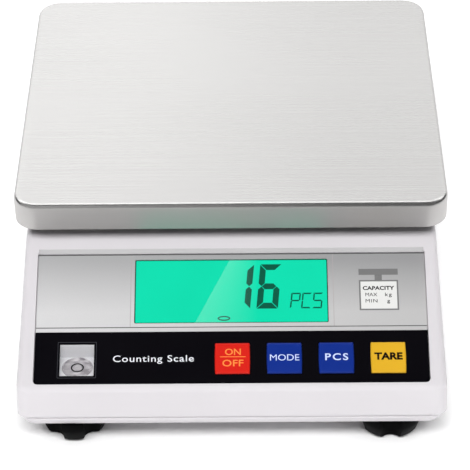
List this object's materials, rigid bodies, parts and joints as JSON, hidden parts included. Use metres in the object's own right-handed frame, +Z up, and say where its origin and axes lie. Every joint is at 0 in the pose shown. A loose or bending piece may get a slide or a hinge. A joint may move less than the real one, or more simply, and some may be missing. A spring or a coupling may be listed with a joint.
{
  "type": "counting scale",
  "caption": "Bench counting scale: stainless pan on a load cell, white case with a sloped console, LCD, square keys, bubble level and screw-adjusted feet.",
  "frame": {"origin": "on the table, under the middle of the scale's bounding box", "axes": "+Z up, +Y from the console towards the back, +X to the right of someone reading the display"},
  "size_m": [0.235, 0.284, 0.1045],
  "materials": {
    "stainless_pan": "brushed along the width",
    "housing_plastic": "smooth, semi-gloss, off-white",
    "overlay_print": "printed sheet, silver field and black strip",
    "clear_window": "clear acrylic",
    "lcd_cell": "teal back-lit display",
    "light_guide": "white light guide",
    "key_red": "smooth moulded",
    "key_blue": "smooth moulded",
    "key_yellow": "smooth moulded",
    "black_plastic": "moulded black",
    "black_rubber": "matt rubber",
    "level_cup": "white moulded",
    "clear_vial": "clear acrylic",
    "level_liquid": "clear tinted liquid",
    "plated_steel": "zinc plated",
    "aluminium": "milled",
    "circuit_board": "green solder mask",
    "battery_case": "dark grey case",
    "cable_jacket": "PVC jacket"
  },
  "bodies": {
    "base": {"base_plate": "plated_steel", "battery": "battery_case", "battery_cover": "housing_plastic", "battery_leads": "cable_jacket", "board_screws": "plated_steel", "board_standoffs": "plated_steel", "bottom_shell": "housing_plastic", "buzzer": "black_plastic", "console_overlay": "overlay_print", "dc_jack": "black_plastic", "dc_jack_nut": "plated_steel", "dc_leads": "cable_jacket", "display_board": "circuit_board", "display_window": "clear_window", "foot_nuts": "plated_steel", "housing_screws": "plated_steel", "key_switches": "black_plastic", "lcd_backlight": "light_guide", "lcd_holder": "light_guide", "lcd_panel": "lcd_cell", "level_fluid": "level_liquid", "level_holder": "level_cup", "level_vial": "clear_vial", "load_cell": "aluminium", "load_cell_cable": "cable_jacket", "load_cell_lower_block": "aluminium", "load_cell_lower_bolts": "plated_steel", "main_board": "circuit_board", "overload_stop_nut": "plated_steel", "overload_stop_screw": "plated_steel", "ribbon_cable": "cable_jacket", "upper_housing": "housing_plastic"},
    "pan": {"weighing_pan": "stainless_pan"},
    "platform": {"pan_support": "plated_steel", "load_cell_upper_block": "aluminium", "load_cell_upper_bolts": "plated_steel", "pan_bumper_front_left": "black_rubber", "pan_bumper_front_right": "black_rubber", "pan_bumper_back_left": "black_rubber", "pan_bumper_back_right": "black_rubber"},
    "key_on_off": {"keycap_on_off": "key_red", "key_plunger_on_off": "black_plastic"},
    "key_mode": {"keycap_mode": "key_blue", "key_plunger_mode": "black_plastic"},
    "key_pcs": {"keycap_pcs": "key_blue", "key_plunger_pcs": "black_plastic"},
    "key_tare": {"keycap_tare": "key_yellow", "key_plunger_tare": "black_plastic"},
    "foot_sole_front_left": {"foot_pad_front_left": "black_rubber"},
    "foot_screw_front_left": {"foot_knob_front_left": "black_plastic", "foot_stud_front_left": "plated_steel"},
    "foot_sole_front_right": {"foot_pad_front_right": "black_rubber"},
    "foot_screw_front_right": {"foot_knob_front_right": "black_plastic", "foot_stud_front_right": "plated_steel"},
    "foot_sole_back_left": {"foot_pad_back_left": "black_rubber"},
    "foot_screw_back_left": {"foot_knob_back_left": "black_plastic", "foot_stud_back_left": "plated_steel"},
    "foot_sole_back_right": {"foot_pad_back_right": "black_rubber"},
    "foot_screw_back_right": {"foot_knob_back_right": "black_plastic", "foot_stud_back_right": "plated_steel"}
  },
  "joints": [
    {"name": "platform_deflection", "type": "slide", "parent": "base", "child": "platform", "axis": [0, 0, -1], "range_m": [0, 0.0005], "stiffness_N_per_m": 190000, "deforming": ["load_cell"]},
    {"name": "pan_lift", "type": "slide", "parent": "platform", "child": "pan", "axis": [0, 0, 1], "range_m": [0, 0.06]},
    {"name": "key_on_off_press", "type": "slide", "parent": "base", "child": "key_on_off", "axis": [0, 0.4352, -0.9003], "range_m": [0, 0.0008], "stiffness_N_per_m": 2500},
    {"name": "key_mode_press", "type": "slide", "parent": "base", "child": "key_mode", "axis": [0, 0.4352, -0.9003], "range_m": [0, 0.0008], "stiffness_N_per_m": 2500},
    {"name": "key_pcs_press", "type": "slide", "parent": "base", "child": "key_pcs", "axis": [0, 0.4352, -0.9003], "range_m": [0, 0.0008], "stiffness_N_per_m": 2500},
    {"name": "key_tare_press", "type": "slide", "parent": "base", "child": "key_tare", "axis": [0, 0.4352, -0.9003], "range_m": [0, 0.0008], "stiffness_N_per_m": 2500},
    {"name": "foot_travel_front_left", "type": "slide", "parent": "base", "child": "foot_sole_front_left", "axis": [0, 0, -1], "range_m": [0, 0.00501]},
    {"name": "foot_turn_front_left", "type": "hinge", "parent": "foot_sole_front_left", "child": "foot_screw_front_left", "pos_m": [-0.0853, -0.123, 0], "axis": [0, 0, -1], "range_deg": [0, 1440]},
    {"name": "foot_travel_front_right", "type": "slide", "parent": "base", "child": "foot_sole_front_right", "axis": [0, 0, -1], "range_m": [0, 0.00501]},
    {"name": "foot_turn_front_right", "type": "hinge", "parent": "foot_sole_front_right", "child": "foot_screw_front_right", "pos_m": [0.0853, -0.123, 0], "axis": [0, 0, -1], "range_deg": [0, 1440]},
    {"name": "foot_travel_back_left", "type": "slide", "parent": "base", "child": "foot_sole_back_left", "axis": [0, 0, -1], "range_m": [0, 0.00501]},
    {"name": "foot_turn_back_left", "type": "hinge", "parent": "foot_sole_back_left", "child": "foot_screw_back_left", "pos_m": [-0.0853, 0.114, 0], "axis": [0, 0, -1], "range_deg": [0, 1440]},
    {"name": "foot_travel_back_right", "type": "slide", "parent": "base", "child": "foot_sole_back_right", "axis": [0, 0, -1], "range_m": [0, 0.00501]},
    {"name": "foot_turn_back_right", "type": "hinge", "parent": "foot_sole_back_right", "child": "foot_screw_back_right", "pos_m": [0.0853, 0.114, 0], "axis": [0, 0, -1], "range_deg": [0, 1440]}
  ],
  "couplings": [
    {"joint": "foot_travel_front_left", "follows": "foot_turn_front_left", "m_per_rad": 0.00019894},
    {"joint": "foot_travel_front_right", "follows": "foot_turn_front_right", "m_per_rad": 0.00019894},
    {"joint": "foot_travel_back_left", "follows": "foot_turn_back_left", "m_per_rad": 0.00019894},
    {"joint": "foot_travel_back_right", "follows": "foot_turn_back_right", "m_per_rad": 0.00019894}
  ]
}
